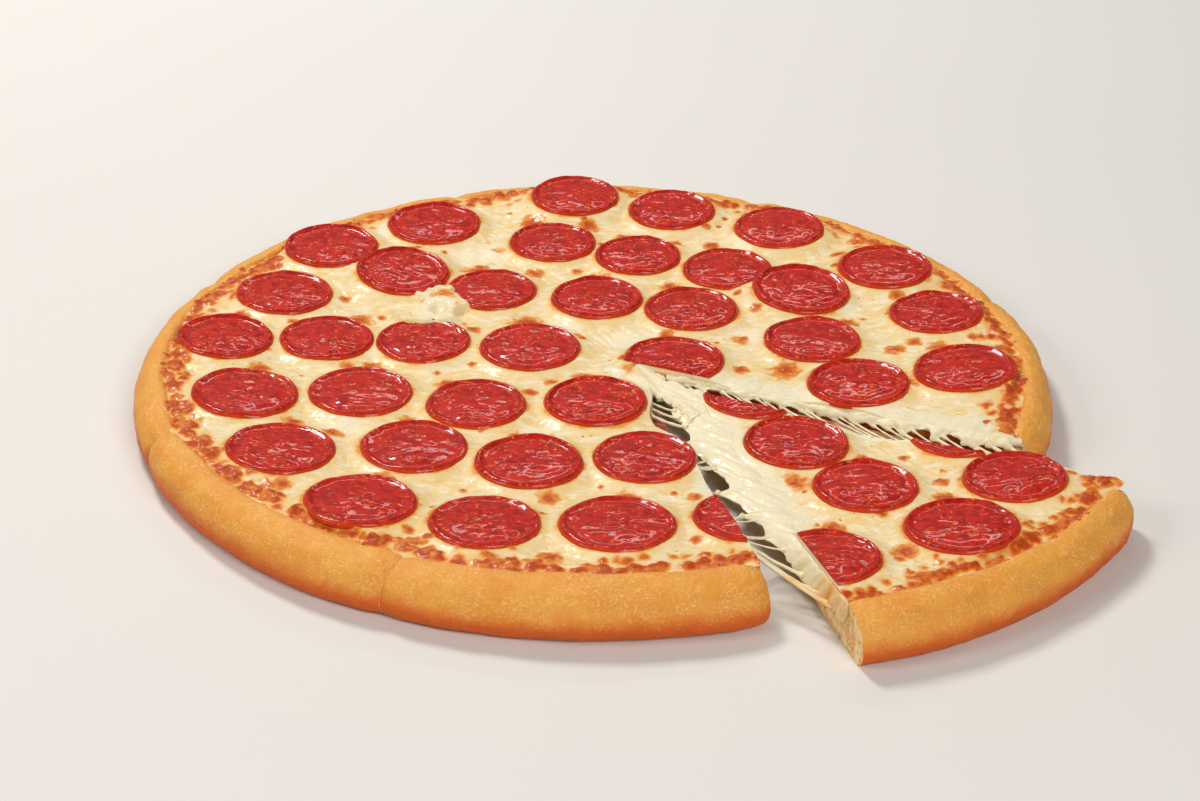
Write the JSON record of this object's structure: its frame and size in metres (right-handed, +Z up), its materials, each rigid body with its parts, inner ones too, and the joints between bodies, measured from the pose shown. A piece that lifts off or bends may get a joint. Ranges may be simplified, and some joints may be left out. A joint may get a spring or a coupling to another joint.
{
  "type": "pepperoni pizza",
  "caption": "Round thick-rimmed pepperoni pizza, baked golden and cut into wedges, with one wedge drawn out of the ring on strings and webs of melted cheese",
  "frame": {"origin": "On the table, under the middle of the whole part's bounding box, 10 mm from the middle of the round pizza.", "axes": "+Z is up. +X is to the right and -Y is towards the viewer, with the drawn-out wedge at the front right."},
  "size_m": [0.3693, 0.3656, 0.0203],
  "materials": {
    "dough": "baked bread crust, golden, dry and finely pored; pale crumb at the cuts",
    "sauce": "cooked tomato sauce, moist",
    "cheese": "melted mozzarella, pale cream with browned spots and an oily sheen",
    "pepperoni": "sliced cured sausage, red with flecks of fat, glossy and wrinkled"
  },
  "bodies": {
    "root": {"dough_1": "dough", "dough_2": "dough", "dough_3": "dough", "dough_4": "dough", "dough_5": "dough", "dough_6": "dough", "dough_7": "dough", "dough_pulled": "dough", "sauce": "sauce", "sauce_pulled": "sauce", "cheese": "cheese", "cheese_pulled": "cheese", "pull_front": "cheese", "pull_back": "cheese", "pepperoni_01": "pepperoni", "pepperoni_02": "pepperoni", "pepperoni_03": "pepperoni", "pepperoni_04": "pepperoni", "pepperoni_05": "pepperoni", "pepperoni_06": "pepperoni", "pepperoni_07": "pepperoni", "pepperoni_08": "pepperoni", "pepperoni_09": "pepperoni", "pepperoni_10": "pepperoni", "pepperoni_11": "pepperoni", "pepperoni_12": "pepperoni", "pepperoni_13": "pepperoni", "pepperoni_14": "pepperoni", "pepperoni_15": "pepperoni", "pepperoni_16": "pepperoni", "pepperoni_17": "pepperoni", "pepperoni_18": "pepperoni", "pepperoni_19": "pepperoni", "pepperoni_20": "pepperoni", "pepperoni_21": "pepperoni", "pepperoni_22": "pepperoni", "pepperoni_23": "pepperoni", "pepperoni_24": "pepperoni", "pepperoni_25": "pepperoni", "pepperoni_26": "pepperoni", "pepperoni_27": "pepperoni", "pepperoni_28": "pepperoni", "pepperoni_29": "pepperoni", "pepperoni_30": "pepperoni", "pepperoni_31": "pepperoni", "pepperoni_32": "pepperoni", "pepperoni_33": "pepperoni", "pepperoni_34": "pepperoni", "pepperoni_35": "pepperoni", "pepperoni_36": "pepperoni", "pepperoni_37": "pepperoni", "pepperoni_38": "pepperoni", "pepperoni_39": "pepperoni", "pepperoni_40": "pepperoni", "pepperoni_41": "pepperoni", "pepperoni_42": "pepperoni", "pepperoni_43": "pepperoni"}
  },
  "joints": []
}
